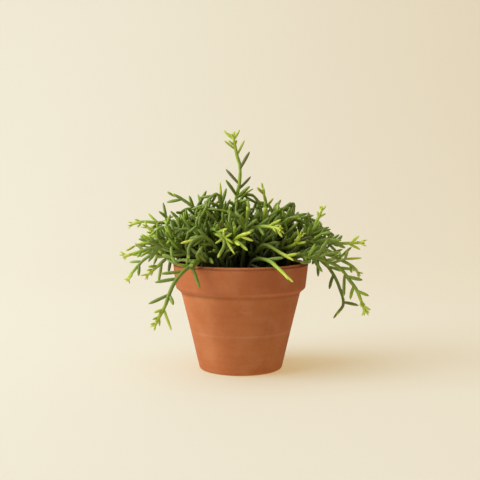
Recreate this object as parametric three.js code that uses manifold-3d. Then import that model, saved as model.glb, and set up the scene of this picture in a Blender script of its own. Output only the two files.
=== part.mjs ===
// A potted coral cactus: a dome of thin, pencil-like stems with short side
// segments, growing out of soil in a terracotta pot.
// Millimetres, +Z up. The origin is the centre of the pot's underside.
import * as THREE from "three";
import { mergeVertices } from "three/addons/utils/BufferGeometryUtils.js";
import Module from "manifold-3d";

const wasm = await Module();
wasm.setup();

// --- Driving dimensions ---------------------------------------------------

const POT_HEIGHT = 88.5;
const RIM_TOP_RADIUS = 56; // a nominal four-inch clay pot
const RIM_FOOT_RADIUS = 53.7;
const RIM_FOOT_Z = 67.9;
const BODY_TOP_RADIUS = 49.3;
const BODY_TOP_Z = 63.6;
const BODY_FOOT_RADIUS = 34.2;
const FOOT_ROUNDING = 2.4;
const LIP_ROUNDING = 2;
const MOUTH_RADIUS = 49.5;
const INSIDE_FOOT_RADIUS = 31;
const EDGE_CHAMFER = 1; // inside the mouth and round the floor
const FLOOR_THICKNESS = 7;
const DRAIN_RADIUS = 7;

const GAP = 0.3; // between pieces that touch
const SOIL_EDGE_Z = 74.5;
const SOIL_MOUND = 3;
const SOIL_TOP_Z = SOIL_EDGE_Z + SOIL_MOUND;
const SOIL_RINGS = [1, 0.75, 0.4, 0]; // of the soil's radius, from its edge to the middle

const STEM_RADIUS = 1.5;
const SEGMENT_RADIUS = 1.35;
const SEGMENT_LENGTH = 12;
const LONGEST_SEGMENT = 17;
const YOUNG_RADIUS = 1.1;
const YOUNG_LENGTH = 5;
const YOUNG_OVERLAP = 2; // of a young segment and the stem that it goes on from
const ROOT_DEPTH = 11; // how far a stem goes down into the soil
const ROOT_SPACING = 4.8; // between the middles of two roots
const COLLAR_Z = SOIL_TOP_Z + 2.5; // where a stem starts to lean
const LEAN = THREE.MathUtils.degToRad(42); // between a segment and its stem
const NODE_PITCH = 13; // along a stem, from one pair of segments to the next
const BARE_END = 8; // at a stem's end, without pairs
const PAIR_CLEARANCE = 4; // along a stem, from the last pair to the first laid side segment
const TURN_STEP = 0.45; // radians about the stem, to the next try for a side segment
const SECOND_SHARE = 0.25; // of the side segments that bear one more
const SECOND_START = 0.85; // of a side segment's length, where the next one leaves it
const SECOND_LENGTH = 0.75 * SEGMENT_LENGTH;
const STEM_STEP = 9; // along a stem, from one section to the next
const ROUND_SIDES = 32; // facets round the pot and the soil
const STEM_SIDES = 5;
const SEGMENT_SIDES = 3;
const ROOT_SIDES = 4;
const SEED = 7;

const WATERING_GAP = [[-17, -43, 78.5], [-7, -33, 88]]; // corner to corner, free for water at the front
const BARE_Z = 98; // below it and inside the mouth it is dark, and stems are bare
const DOME = [97, 84, 61]; // how far the dome reaches along x, y and up from the collars
const DOME_EDGE = 0.15; // keeps room under the dome's roof near its edge

// Spreads that numbers are drawn from: shares of the length and the lean of a side segment,
// the turn from one pair to the next, and a ruled stem's heading, root and distance from the middle.
const LENGTH_SPREAD = [0.75, 1.1];
const LEAN_SPREAD = [0.85, 1.25];
const TURN_SPREAD = [-0.3, 0.3];
const HEADING_SPREAD = [-12, 12]; // degrees
const ROOT_SPREAD = [-0.7, 0.7];
const ROOT_OUT = [6, 40];

// What is tried, in this order, until there is room.
const LIFTS = [0, 2, -2, 4];
const SHIFTS = [0, 3, -3, 6, -6, 9, -9];
const NUDGES = [0, 2, -2, 4, -4, 6, -6];
const MOST_TRIES = 400; // for a ruled stem
const MOST_TURNS = 4; // for a side segment

const SAMPLE_SHARES = [0, 0.125, 0.25, 0.375, 0.5, 0.625, 0.75, 0.875, 1]; // along a stretch
const ARCH_SHARES = [0, 0.14, 0.32, 0.55, 0.78, 1]; // where a ruled stem's points lie along its reach

// Stems placed by rule: how many, their reach from the middle, the height they end at, how far
// their arch rises above a straight line, and the sector that they head for, in degrees.
const RULED_STEMS = {
  inner_stem: { count: 12, reach: [10, 44], end: [118, 138], rise: [2, 8], sector: [-150, 210] },
  outer_stem: { count: 9, reach: [60, 84], end: [94, 114], rise: [12, 22], sector: [-30, 210] },
  back_trailing_stem: { count: 4, reach: [77, 82], end: [52, 78], rise: [30, 38], sector: [68, 112] },
};

// --- Stems laid by hand ----------------------------------------------------
// root: where the stem leaves the soil, x and y.
// route: the points that it passes through, from low to high and out to its tip.
// tips: the tips of side segments, each on the stem's nearest stretch. A fourth number says how far
// back along the stem the segment starts; without it, the segment's lean does.

const LAID_STEMS = {
  crown_stem: {
    root: [0, 6],
    route: [[0, 6, 106], [-3, 5, 128], [-4, 3, 140], [-1, 1, 154], [-1, 0, 167], [-4, -1, 177],
      [-7, -3, 192]],
    tips: [[7, -5, 179], [-12, 5, 165], [8, 4, 159], [-12, -4, 156], [7, -7, 151], [10, 10, 149],
      [-13, -6, 188], [3, 2, 189], [-14, -1, 197], [-1, -4, 197]],
  },
  arching_stem_right: {
    root: [6, 15],
    route: [[-1, 13, 119], [0, 10, 140], [7, 8, 144], [12, 8, 142], [16, 8, 136], [18, 8, 128]],
    tips: [[-2, 14, 138], [24, 5, 134]],
  },
  upright_stem_right: {
    root: [11, 14],
    route: [[15, 15, 104], [18, 14, 121], [21, 13, 133], [21, 12, 141], [19, 12, 149]],
    tips: [[14, 8, 150], [27, 9, 141], [24, 14, 136]],
  },
  forked_stem_left: {
    root: [-12, 14],
    route: [[-24, 12, 119], [-32, 12, 129], [-38, 12, 132], [-43, 12, 136], [-50, 12, 140], [-57, 12, 144]],
    tips: [[-62, 15, 138], [-43, 9, 143], [-36, 15, 144], [-29, 9, 147]],
  },
  arching_stem_left: {
    root: [-8, 1],
    route: [[-12, 0, 119], [-16, -2, 138], [-19, -4, 145], [-27, -6, 140], [-32, -8, 131], [-35, -9, 125]],
    tips: [[-17, -2, 154], [-12, -6, 149], [-34, -1, 142], [-26, -14, 127]],
  },
  far_stem_left: {
    root: [-18, 8],
    route: [[-30, 10, 108], [-43, 14, 118], [-51, 16, 119], [-60, 18, 120], [-72, 20, 121], [-83, 20, 121],
      [-92, 20, 119]],
    tips: [[-79, 22, 128], [-69, 14, 130], [-66, 20, 137], [-59, 14, 130], [-49, 18, 130], [-77, 24, 114]],
  },
  lime_stem_left: {
    root: [-21, -1],
    route: [[-34, -3, 96], [-42, -4, 102], [-54, -5, 104], [-63, -6, 106], [-72, -8, 114], [-77, -9, 118]],
    tips: [[-78, -3, 111], [-58, -9, 115], [-68, -12, 120]],
  },
  level_stem_left: {
    root: [-18, -9],
    route: [[-30, -11, 93], [-43, -13, 99], [-56, -15, 105], [-65, -16, 108], [-74, -17, 106],
      [-82, -17, 104]],
    tips: [[-79, -15, 111], [-66, -20, 100], [-63, -18, 116], [-52, -12, 113]],
  },
  star_stem_left: {
    root: [-22, -17],
    route: [[-34, -20, 93], [-45, -22, 98], [-57, -24, 102], [-69, -25, 102], [-79, -26, 99], [-92, -26, 96]],
    tips: [[-82, -28, 95], [-74, -22, 91], [-73, -30, 108], [-57, -29, 110]],
  },
  drooping_stem_left: {
    root: [-24, 18],
    route: [[-36, 21, 93], [-49, 25, 99], [-66, 28, 99], [-81, 31, 90], [-89, 33, 82], [-99, 38, 70]],
    tips: [[-97, 36, 85], [-89, 32, 74], [-75, 26, 84], [-73, 33, 103]],
  },
  low_stem_left: {
    root: [-29, 4],
    route: [[-38, 6, 89], [-47, 8, 93], [-55, 8, 94], [-62, 8, 91], [-70, 8, 84], [-79, 8, 77]],
    tips: [[-77, 5, 84], [-69, 6, 71], [-61, 10, 79], [-55, 4, 84]],
  },
  trailing_stem_left: {
    root: [-17, -28],
    route: [[-23, -34, 91], [-30, -41, 94], [-38, -52, 91], [-47, -64, 82], [-53, -72, 71], [-57, -78, 61],
      [-63, -84, 50]],
    tips: [[-60, -62, 85], [-64, -66, 79], [-68, -74, 64], [-63, -83, 59], [-51, -83, 46], [-50, -78, 64],
      [-31, -62, 74, 13]],
  },
  leaning_stem_right: {
    root: [15, 7],
    route: [[20, 9, 105], [26, 10, 119], [32, 10, 127], [37, 10, 133], [42, 10, 138], [44, 10, 136],
      [44, 10, 130]],
    tips: [[21, 6, 132], [38, 16, 126]],
  },
  arching_stem_outer_right: {
    root: [17, 1],
    route: [[26, 2, 102], [36, 3, 119], [44, 4, 126], [50, 4, 127], [55, 4, 124], [57, 4, 115]],
    tips: [[38, -4, 128], [62, 8, 123], [46, 9, 115], [31, -3, 121]],
  },
  star_stem_right: {
    root: [18, -6],
    route: [[28, -7, 93], [38, -8, 101], [50, -10, 105], [57, -11, 111], [63, -12, 124], [66, -12, 132]],
    tips: [[71, -15, 118], [73, -8, 116], [52, -14, 120], [46, -6, 114]],
  },
  far_stem_right: {
    root: [24, 1],
    route: [[32, 1, 91], [43, 0, 98], [56, -6, 105], [73, -12, 105], [82, -14, 105], [92, -16, 106],
      [97, -18, 106]],
    tips: [[82, -15, 111], [85, -10, 101], [95, -19, 111], [97, -12, 100], [68, -8, 113], [69, -4, 98]],
  },
  spreading_stem_right: {
    root: [24, 10],
    route: [[34, 12, 90], [48, 16, 94], [66, 20, 95], [78, 22, 92], [89, 22, 87], [97, 22, 82],
      [101, 22, 77]],
    tips: [[87, 24, 97], [103, 20, 90], [95, 20, 78], [70, 16, 103], [76, 22, 82]],
  },
  trailing_stem_right: {
    root: [17, -17],
    route: [[28, -20, 91], [42, -24, 96], [57, -27, 95], [71, -29, 91], [79, -29, 86], [85, -29, 78],
      [92, -29, 69], [96, -29, 60], [99, -29, 52]],
    tips: [[89, -27, 85], [96, -32, 77], [102, -28, 64], [103, -30, 53], [88, -25, 61], [82, -33, 65],
      [64, -35, 84], [66, -31, 101]],
  },
  drooping_stem_right: {
    root: [20, 19],
    route: [[31, 22, 91], [45, 26, 95], [63, 29, 91], [74, 30, 83], [81, 30, 74], [86, 30, 63], [89, 30, 50],
      [84, 31, 41]],
    tips: [[67, 27, 74], [102, 29, 48, 2], [91, 33, 58], [77, 27, 63], [91, 34, 77]],
  },
  rim_stem_front: {
    root: [5, -24],
    route: [[9, -28, 91], [15, -36, 95], [23, -46, 93], [29, -53, 88], [36, -60, 82]],
    tips: [[19, -34, 84], [32, -46, 96]],
  },
  level_stem_front: {
    root: [6, -12],
    route: [[9, -15, 93], [13, -22, 99], [17, -28, 104], [22, -33, 104], [30, -39, 100], [37, -45, 96]],
    tips: [[18, -32, 92], [29, -30, 107], [43, -46, 99]],
  },
  star_stem_front: {
    root: [2, -4],
    route: [[3, -8, 98], [5, -17, 110], [10, -26, 118], [20, -34, 120], [30, -41, 118]],
    tips: [[31, -38, 125], [22, -30, 126], [18, -38, 113], [32, -42, 112]],
  },
  lime_stem_front: {
    root: [-12, -8],
    route: [[-18, -12, 104], [-23, -22, 116], [-19, -32, 116], [-13, -40, 111], [-13, -45, 104],
      [-17, -48, 97]],
    tips: [[-11, -43, 118], [-5, -47, 99], [-8, -38, 114]],
  },
  band_stem_front: {
    root: [-11, -20],
    route: [[-10, -24, 96], [-9, -31, 104], [-5, -37, 108], [-1, -42, 112], [4, -46, 114]],
    tips: [[5, -50, 102], [9, -46, 109], [-1, -50, 106], [10, -38, 117]],
  },
  lime_stem_right: {
    root: [11, -3],
    route: [[18, -6, 92], [29, -13, 99], [38, -21, 102], [44, -27, 106], [47, -30, 112]],
    tips: [[51, -32, 107], [37, -20, 111], [34, -24, 94]],
  },
  arching_stem_front: {
    root: [-11, -28],
    route: [[-16, -31, 97], [-22, -35, 107], [-29, -40, 111], [-36, -44, 109], [-40, -47, 104],
      [-41, -48, 96]],
    tips: [[-46, -45, 107], [-27, -45, 93], [-33, -38, 117], [-21, -46, 102]],
  },
};

// --- Materials --------------------------------------------------------------

const terracotta = new THREE.MeshStandardMaterial({ color: 0xb5683d, roughness: 0.85, metalness: 0 });
const peat = new THREE.MeshStandardMaterial({ color: 0x241d14, roughness: 1, metalness: 0 });
const greenSkin = new THREE.MeshStandardMaterial({ color: 0x5a7d32, roughness: 0.45, metalness: 0 });
const limeSkin = new THREE.MeshStandardMaterial({ color: 0x8fae3c, roughness: 0.45, metalness: 0 });

// --- Solids -------------------------------------------------------------------

// A closed geometry as a solid that can be joined and cut.
function solidOf(geometry) {
  const bare = geometry.clone();
  bare.deleteAttribute("normal");
  bare.deleteAttribute("uv");
  const merged = mergeVertices(bare, 1e-4);
  const mesh = new wasm.Mesh({
    numProp: 3,
    vertProperties: new Float32Array(merged.attributes.position.array),
    triVerts: new Uint32Array(merged.index.array),
  });
  return new wasm.Manifold(mesh);
}

// A solid as a geometry again.
function geometryOf(solid) {
  const mesh = solid.getMesh();
  const geometry = new THREE.BufferGeometry();
  geometry.setAttribute("position", new THREE.BufferAttribute(mesh.vertProperties, 3));
  geometry.setIndex(new THREE.BufferAttribute(mesh.triVerts, 1));
  geometry.computeVertexNormals();
  return geometry;
}

// A profile of [radius, height] points, turned about the vertical axis.
function turned(profile, sides) {
  const points = profile.map(([radius, height]) => new THREE.Vector2(radius, height));
  const geometry = new THREE.LatheGeometry(points, sides);
  geometry.rotateX(Math.PI / 2);
  return geometry;
}

// Points of a rounded corner: a quarter turn about a centre, between two angles in degrees.
function arc(centreRadius, centreHeight, radius, from, to, steps) {
  return Array.from({ length: steps + 1 }, (_, i) => {
    const angle = THREE.MathUtils.degToRad(from + ((to - from) * i) / steps);
    return [centreRadius + radius * Math.cos(angle), centreHeight + radius * Math.sin(angle)];
  });
}

// --- Pot and soil -------------------------------------------------------------

// Inside radius of the pot at a height.
function insideRadius(z) {
  const rise = (z - FLOOR_THICKNESS) / (POT_HEIGHT - FLOOR_THICKNESS);
  return INSIDE_FOOT_RADIUS + (MOUTH_RADIUS - INSIDE_FOOT_RADIUS) * rise;
}

function pot() {
  const lipRadius = RIM_TOP_RADIUS - LIP_ROUNDING;
  const lipZ = POT_HEIGHT - LIP_ROUNDING;
  const profile = [
    [DRAIN_RADIUS, 0],
    ...arc(BODY_FOOT_RADIUS - FOOT_ROUNDING, FOOT_ROUNDING, FOOT_ROUNDING, -90, 0, 3),
    [BODY_TOP_RADIUS, BODY_TOP_Z],
    [RIM_FOOT_RADIUS, RIM_FOOT_Z],
    ...arc(lipRadius, lipZ, LIP_ROUNDING, 0, 90, 3),
    [MOUTH_RADIUS + EDGE_CHAMFER, POT_HEIGHT],
    [insideRadius(POT_HEIGHT - EDGE_CHAMFER), POT_HEIGHT - EDGE_CHAMFER],
    [insideRadius(FLOOR_THICKNESS + EDGE_CHAMFER), FLOOR_THICKNESS + EDGE_CHAMFER],
    [INSIDE_FOOT_RADIUS - EDGE_CHAMFER, FLOOR_THICKNESS],
    [DRAIN_RADIUS, FLOOR_THICKNESS],
    [DRAIN_RADIUS, 0],
  ];
  return turned(profile, ROUND_SIDES);
}

// The soil fills the pot and has a socket for each stem's root.
function soil(roots) {
  const floor = FLOOR_THICKNESS + GAP;
  const edge = insideRadius(SOIL_EDGE_Z) - GAP;
  const profile = [
    [0, floor],
    [INSIDE_FOOT_RADIUS - EDGE_CHAMFER - 2 * GAP, floor],
    [insideRadius(floor + EDGE_CHAMFER) - GAP, floor + EDGE_CHAMFER],
    ...SOIL_RINGS.map((share) => [edge * share, SOIL_EDGE_Z + SOIL_MOUND * (1 - share * share)]),
  ];
  const sockets = roots.map(({ x, y }) => rootPrism(x, y, STEM_RADIUS + 2 * GAP, ROOT_DEPTH));
  return geometryOf(solidOf(turned(profile, ROUND_SIDES)).subtract(wasm.Manifold.union(sockets)));
}

// A straight prism down into the soil.
function rootPrism(x, y, radius, depth) {
  const height = COLLAR_Z - SOIL_TOP_Z + depth;
  const geometry = new THREE.CylinderGeometry(radius, radius, height, ROOT_SIDES);
  geometry.rotateX(Math.PI / 2);
  geometry.translate(x, y, COLLAR_Z - height / 2);
  return solidOf(geometry);
}

// --- How a stem grows ---------------------------------------------------------

// Seeded numbers from 0 to 1, the same on every run.
function seeded(seed) {
  let state = seed;
  return () => {
    state = (state * 1664525 + 1013904223) % 4294967296;
    return state / 4294967296;
  };
}

const random = seeded(SEED);
const between = (low, high) => low + (high - low) * random();
const vector = (point) => new THREE.Vector3(...point);

// The smooth curve through a stem's points.
function curveThrough(points) {
  return new THREE.CatmullRomCurve3(points, false, "catmullrom", 0.5);
}

// The straight stretches of a stem, all of one length.
function stretchesThrough(points) {
  const curve = curveThrough(points);
  const route = curve.getSpacedPoints(Math.round(curve.getLength() / STEM_STEP));
  let start = 0;
  return route.slice(1).map((to, i) => {
    const from = route[i];
    const length = from.distanceTo(to);
    const along = to.clone().sub(from).normalize();
    start += length;
    return { from, to, along, length, start: start - length };
  });
}

// The point at a distance along a stem, and the stem's direction there.
function placeAt(stem, distance) {
  const last = stem.stretches[stem.stretches.length - 1];
  const stretch = stem.stretches.find((s) => distance < s.start + s.length) ?? last;
  const point = stretch.from.clone().addScaledVector(stretch.along, distance - stretch.start);
  return { point, along: stretch.along };
}

// How far along a stem the side segment that ends at a tip leaves it: as far back as its lean
// takes it, but no further than the longest segment reaches. Or as far back as is stated.
function footDistance(stem, tip, back) {
  const nearest = new THREE.Vector3();
  let best = { gap: Infinity, distance: 0 };
  stem.stretches.forEach(({ from, to, length, start }, i) => {
    const isLast = i === stem.stretches.length - 1;
    const line = new THREE.Line3(from, to);
    const share = Math.max(0, line.closestPointToPointParameter(tip, !isLast));
    const gap = line.at(share, nearest).distanceTo(tip);
    if (gap < best.gap) best = { gap, distance: start + share * length };
  });
  const longestBack = Math.sqrt(Math.max(0, LONGEST_SEGMENT ** 2 - best.gap ** 2));
  const leanBack = Math.min(best.gap / Math.tan(LEAN), longestBack);
  return THREE.MathUtils.clamp(best.distance - (back ?? leanBack), 0, stem.length - YOUNG_OVERLAP);
}

// A direction that leans off another by an angle, turned about it.
function leaning(along, lean, turn) {
  const helper = Math.abs(along.z) < 0.9 ? vector([0, 0, 1]) : vector([1, 0, 0]);
  const across = new THREE.Vector3().crossVectors(along, helper).normalize();
  const upward = new THREE.Vector3().crossVectors(across, along);
  return along
    .clone()
    .multiplyScalar(Math.cos(lean))
    .addScaledVector(across, Math.sin(lean) * Math.cos(turn))
    .addScaledVector(upward, Math.sin(lean) * Math.sin(turn));
}

// The shortest distance between two straight stretches, a to b and c to d.
function distanceBetween(a, b, c, d) {
  const u = b.clone().sub(a);
  const v = d.clone().sub(c);
  const w = a.clone().sub(c);
  const uu = u.dot(u);
  const uv = u.dot(v);
  const vv = v.dot(v);
  const det = uu * vv - uv * uv;
  const clamp = THREE.MathUtils.clamp;
  let s = det > 1e-6 ? clamp((uv * v.dot(w) - vv * u.dot(w)) / det, 0, 1) : 0;
  const t = clamp((uv * s + v.dot(w)) / vv, 0, 1);
  s = clamp((uv * t - u.dot(w)) / uu, 0, 1);
  return a.clone().addScaledVector(u, s).distanceTo(c.clone().addScaledVector(v, t));
}

// Points along a stretch, close enough together to tell what it passes through.
function samples(from, to) {
  return SAMPLE_SHARES.map((share) => from.clone().lerp(to, share));
}

// Whether a stretch keeps out of the gap that is left for watering.
function clearsGap(from, to, radius) {
  const gap = new THREE.Box3(...WATERING_GAP.map(vector)).expandByScalar(radius + GAP);
  return !samples(from, to).some((p) => gap.containsPoint(p));
}

// Whether a stretch clears the pot and the soil.
function clearsPot(from, to, radius) {
  const room = radius + 2 * GAP;
  return samples(from, to).every((p) => {
    const out = Math.hypot(p.x, p.y);
    if (out < MOUTH_RADIUS - room - EDGE_CHAMFER) return p.z > SOIL_TOP_Z + room;
    return p.z > POT_HEIGHT + room || out > RIM_TOP_RADIUS + room;
  });
}

const grown = []; // the space that has been taken: stretches with a radius and their stem's name

// Whether a stretch of a stem clears the pot, the soil, the watering gap and every other stem.
function isFree(from, to, radius, name) {
  if (!clearsPot(from, to, radius) || !clearsGap(from, to, radius)) return false;
  const middle = from.clone().lerp(to, 0.5);
  const half = from.distanceTo(to) / 2;
  return grown.every((other) => {
    if (other.name === name) return true;
    const room = radius + other.radius + GAP;
    if (middle.distanceTo(other.middle) > half + other.half + room) return true;
    return distanceBetween(from, to, other.from, other.to) > room;
  });
}

// Takes the space of a stretch, so that no other stem grows there.
function take(from, to, radius, name) {
  grown.push({ from, to, radius, name, middle: from.clone().lerp(to, 0.5), half: from.distanceTo(to) / 2 });
}

// Grows a stem through its points, or nothing where it would meet another.
function growStem(name, points, skin) {
  const stretches = stretchesThrough(points);
  if (!stretches.every(({ from, to }) => isFree(from, to, STEM_RADIUS, name))) return null;
  stretches.forEach(({ from, to }) => take(from, to, STEM_RADIUS, name));
  const last = stretches[stretches.length - 1];
  const length = last.start + last.length;
  return { name, points, skin, stretches, length, pairsTo: length - BARE_END, segments: [] };
}

// Grows a side segment on a stem, if there is room for it.
function growSegment(stem, foot, tip, radius) {
  if (!isFree(foot, tip, radius, stem.name)) return false;
  take(foot, tip, radius, stem.name);
  stem.segments.push({ foot, tip, radius });
  return true;
}

// A laid stem, moved back or forth and up or down a little where another stem is in its way.
function layStem(name, { root, route }) {
  const collar = vector([...root, COLLAR_Z]);
  for (const lift of LIFTS) {
    for (const shift of SHIFTS) {
      const moved = route.map(([x, y, z], i) => {
        const share = Math.min(1, (i + 1) / 2);
        return vector([x, y + shift * share, z + lift * share]);
      });
      const stem = growStem(name, [collar, ...moved], limeSkin);
      if (stem) return { ...stem, shift };
    }
  }
  throw new Error("no room for " + name);
}

// The laid side segments of a laid stem.
function layTips(stem, tips) {
  for (const [x, y, z, back] of tips) {
    NUDGES.some((nudge) => {
      const tip = vector([x, y + stem.shift + nudge, z]);
      const distance = footDistance(stem, tip, back);
      const isGrown = growSegment(stem, placeAt(stem, distance).point, tip, SEGMENT_RADIUS);
      if (isGrown) stem.pairsTo = Math.min(stem.pairsTo, distance - PAIR_CLEARANCE);
      return isGrown;
    });
  }
}

// The points of a stem that leans out to a reach and arches over to the height it ends at.
function archPoints([x, y], heading, reach, end, rise) {
  const rootOut = Math.hypot(x, y);
  const rootTurn = Math.atan2(y, x);
  const swing = Math.atan2(Math.sin(heading - rootTurn), Math.cos(heading - rootTurn));
  return ARCH_SHARES.map((share) => {
    const turn = rootTurn + swing * Math.sin((share * Math.PI) / 2);
    const out = rootOut + (reach - rootOut) * share;
    const z = COLLAR_Z + (end - COLLAR_Z) * share + 4 * rise * share * (1 - share);
    return vector([out * Math.cos(turn), out * Math.sin(turn), z]);
  });
}

// Whether a point is under the dome's roof.
function isUnderDome({ x, y, z }) {
  const [width, depth, height] = DOME;
  const inside = 1 - (x / width) ** 2 - (y / depth) ** 2;
  return z < COLLAR_Z + height * Math.sqrt(Math.max(DOME_EDGE, inside));
}

// Whether a side segment's tip gets light: under the dome's roof, and not low inside the mouth.
function isInLight(tip) {
  return isUnderDome(tip) && (tip.z > BARE_Z || Math.hypot(tip.x, tip.y) > MOUTH_RADIUS);
}

// A stem placed by rule: new roots and arches are tried until one has room.
function ruledStem(name, place, { reach, end, rise, sector }) {
  for (let attempt = 0; attempt < MOST_TRIES; attempt += 1) {
    const degrees = sector[0] + (sector[1] - sector[0]) * place + between(...HEADING_SPREAD);
    const heading = THREE.MathUtils.degToRad(degrees);
    const rootTurn = heading + between(...ROOT_SPREAD);
    const rootOut = between(...ROOT_OUT);
    const root = [rootOut * Math.cos(rootTurn), rootOut * Math.sin(rootTurn)];
    const points = archPoints(root, heading, between(...reach), between(...end), between(...rise));
    const hasRoom = hasRootRoom(points[0]) && points.every(isUnderDome);
    const stem = hasRoom && growStem(name, points, greenSkin);
    if (stem) return stem;
  }
  throw new Error("no room for " + name);
}

const stems = [];

// Whether a root has room in the soil beside the others.
function hasRootRoom(root) {
  return stems.every(({ points }) => Math.hypot(points[0].x - root.x, points[0].y - root.y) > ROOT_SPACING);
}

// Side segments in opposite pairs along a stem, each pair turned from the last.
function growPairs(stem) {
  let turn = between(0, 2 * Math.PI);
  for (let distance = NODE_PITCH; distance < stem.pairsTo; distance += NODE_PITCH) {
    const { point, along } = placeAt(stem, distance);
    growByRule(stem, point, along, turn);
    growByRule(stem, point, along, turn + Math.PI);
    turn += Math.PI / 2 + between(...TURN_SPREAD);
  }
}

// One side segment, turned a little further each time it has no room. Some bear one more.
function growByRule(stem, foot, along, turn) {
  const length = SEGMENT_LENGTH * between(...LENGTH_SPREAD);
  const lean = LEAN * between(...LEAN_SPREAD);
  const bears = random() < SECOND_SHARE;
  for (let attempt = 0; attempt < MOST_TURNS; attempt += 1) {
    const direction = leaning(along, lean, turn + TURN_STEP * attempt);
    const tip = foot.clone().addScaledVector(direction, length);
    if (!isInLight(tip) || !growSegment(stem, foot, tip, SEGMENT_RADIUS)) continue;
    if (!bears) return;
    const start = foot.clone().lerp(tip, SECOND_START);
    const end = start.clone().addScaledVector(leaning(direction, LEAN, turn + 1), SECOND_LENGTH);
    if (isInLight(end)) growSegment(stem, start, end, SEGMENT_RADIUS);
    return;
  }
}

// The young segment that goes on from a stem's growing tip.
function growTip(stem) {
  const { point, along } = placeAt(stem, stem.length - YOUNG_OVERLAP);
  const tip = point.clone().addScaledVector(along, YOUNG_OVERLAP + YOUNG_LENGTH);
  growSegment(stem, point, tip, YOUNG_RADIUS);
}

for (const [name, laid] of Object.entries(LAID_STEMS)) stems.push(layStem(name, laid));
stems.forEach((stem) => layTips(stem, LAID_STEMS[stem.name].tips));
for (const [name, rule] of Object.entries(RULED_STEMS)) {
  for (let i = 0; i < rule.count; i += 1) {
    const numbered = name + "_" + String(i + 1).padStart(2, "0");
    stems.push(ruledStem(numbered, (i + 0.5) / rule.count, rule));
  }
}
stems.forEach(growPairs);
stems.forEach(growTip);

// --- Stems as solids ------------------------------------------------------------

// A side segment: a slim spindle from its foot to its tip.
function spindle({ foot, tip, radius }) {
  const length = foot.distanceTo(tip);
  const profile = [
    [0, 0],
    [radius, 0.5 * length],
    [0, length],
  ];
  const geometry = turned(profile, SEGMENT_SIDES);
  const along = tip.clone().sub(foot).normalize();
  geometry.applyQuaternion(new THREE.Quaternion().setFromUnitVectors(vector([0, 0, 1]), along));
  geometry.translate(...foot);
  return solidOf(geometry);
}

// A stem: its root, a tube along its curve and its side segments, grown as one piece.
function stemSolid(stem) {
  const corners = Array.from({ length: STEM_SIDES }, (_, i) => {
    const angle = (i * 2 * Math.PI) / STEM_SIDES;
    return new THREE.Vector2(STEM_RADIUS * Math.cos(angle), STEM_RADIUS * Math.sin(angle));
  });
  const tube = new THREE.ExtrudeGeometry(new THREE.Shape(corners), {
    extrudePath: curveThrough(stem.points),
    steps: stem.stretches.length,
    bevelEnabled: false,
  });
  const [collar] = stem.points;
  const root = rootPrism(collar.x, collar.y, STEM_RADIUS, ROOT_DEPTH - GAP);
  return wasm.Manifold.union([root, solidOf(tube), ...stem.segments.map(spindle)]);
}

// --- The plant in its pot ---------------------------------------------------------

function named(name, geometry, material) {
  const mesh = new THREE.Mesh(geometry, material.clone());
  mesh.name = name;
  return mesh;
}

const plant = new THREE.Group();
plant.add(named("terracotta_pot", pot(), terracotta));
plant.add(named("potting_soil", soil(stems.map((stem) => stem.points[0])), peat));
for (const stem of stems) plant.add(named(stem.name, geometryOf(stemSolid(stem)), stem.skin));

export default plant;
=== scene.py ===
# %% [markdown]
# # A potted coral cactus
# A dome of pencil-thin cactus stems arches and trails out of a clay pot. The construction model
# holds the pot, the soil and one solid for each rooted stem. Here every one of them gets its
# finished surface: a turned clay wall, crumbly soil, and stems whose side segments grow out of
# the same skin. The construction model is loaded first, and nothing here moves it.

import math

import bmesh
import bpy
import numpy as np
from mathutils import Matrix, Vector, noise


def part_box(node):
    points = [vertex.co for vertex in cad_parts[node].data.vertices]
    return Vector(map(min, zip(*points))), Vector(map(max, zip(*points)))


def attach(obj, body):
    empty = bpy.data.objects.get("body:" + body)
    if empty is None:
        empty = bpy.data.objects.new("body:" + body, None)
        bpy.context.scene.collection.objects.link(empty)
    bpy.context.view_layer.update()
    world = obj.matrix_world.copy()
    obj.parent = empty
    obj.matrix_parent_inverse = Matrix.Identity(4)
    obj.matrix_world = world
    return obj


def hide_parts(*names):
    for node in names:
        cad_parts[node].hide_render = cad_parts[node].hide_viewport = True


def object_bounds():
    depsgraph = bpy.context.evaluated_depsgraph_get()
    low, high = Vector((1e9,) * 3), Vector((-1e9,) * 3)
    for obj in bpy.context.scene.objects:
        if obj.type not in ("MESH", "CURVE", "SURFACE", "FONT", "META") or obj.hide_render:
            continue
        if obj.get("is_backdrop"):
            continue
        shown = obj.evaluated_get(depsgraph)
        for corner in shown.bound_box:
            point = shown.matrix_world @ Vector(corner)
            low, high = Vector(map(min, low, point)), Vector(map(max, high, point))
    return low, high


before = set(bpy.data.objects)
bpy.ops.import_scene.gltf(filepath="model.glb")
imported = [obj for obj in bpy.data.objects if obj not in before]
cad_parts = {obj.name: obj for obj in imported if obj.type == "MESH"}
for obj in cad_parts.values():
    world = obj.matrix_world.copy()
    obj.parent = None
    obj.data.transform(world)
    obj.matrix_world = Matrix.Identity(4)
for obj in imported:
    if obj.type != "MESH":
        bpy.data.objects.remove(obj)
cad_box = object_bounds()
MM = 0.001
pot_low, pot_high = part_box("terracotta_pot")
print("nodes:", len(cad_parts), "rim across, mm:", round((pot_high[0] - pot_low[0]) / MM, 1))

# %% [markdown]
# ## Camera, floor and light
# The pot is looked at almost level, from a step back, with a 61 mm lens, so its sides stay nearly
# parallel. The floor runs up into a curved backdrop, as a paper roll does, so there is no
# horizon. A large, cool window light on the left models the round pot, a warm light above fills
# the shadows, a weak one lifts the backdrop, and a warm room does the rest.

# %% The camera
EYE = Vector((-0.0006, -0.674, 0.148))
TILT_DOWN = math.radians(3.5)

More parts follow.
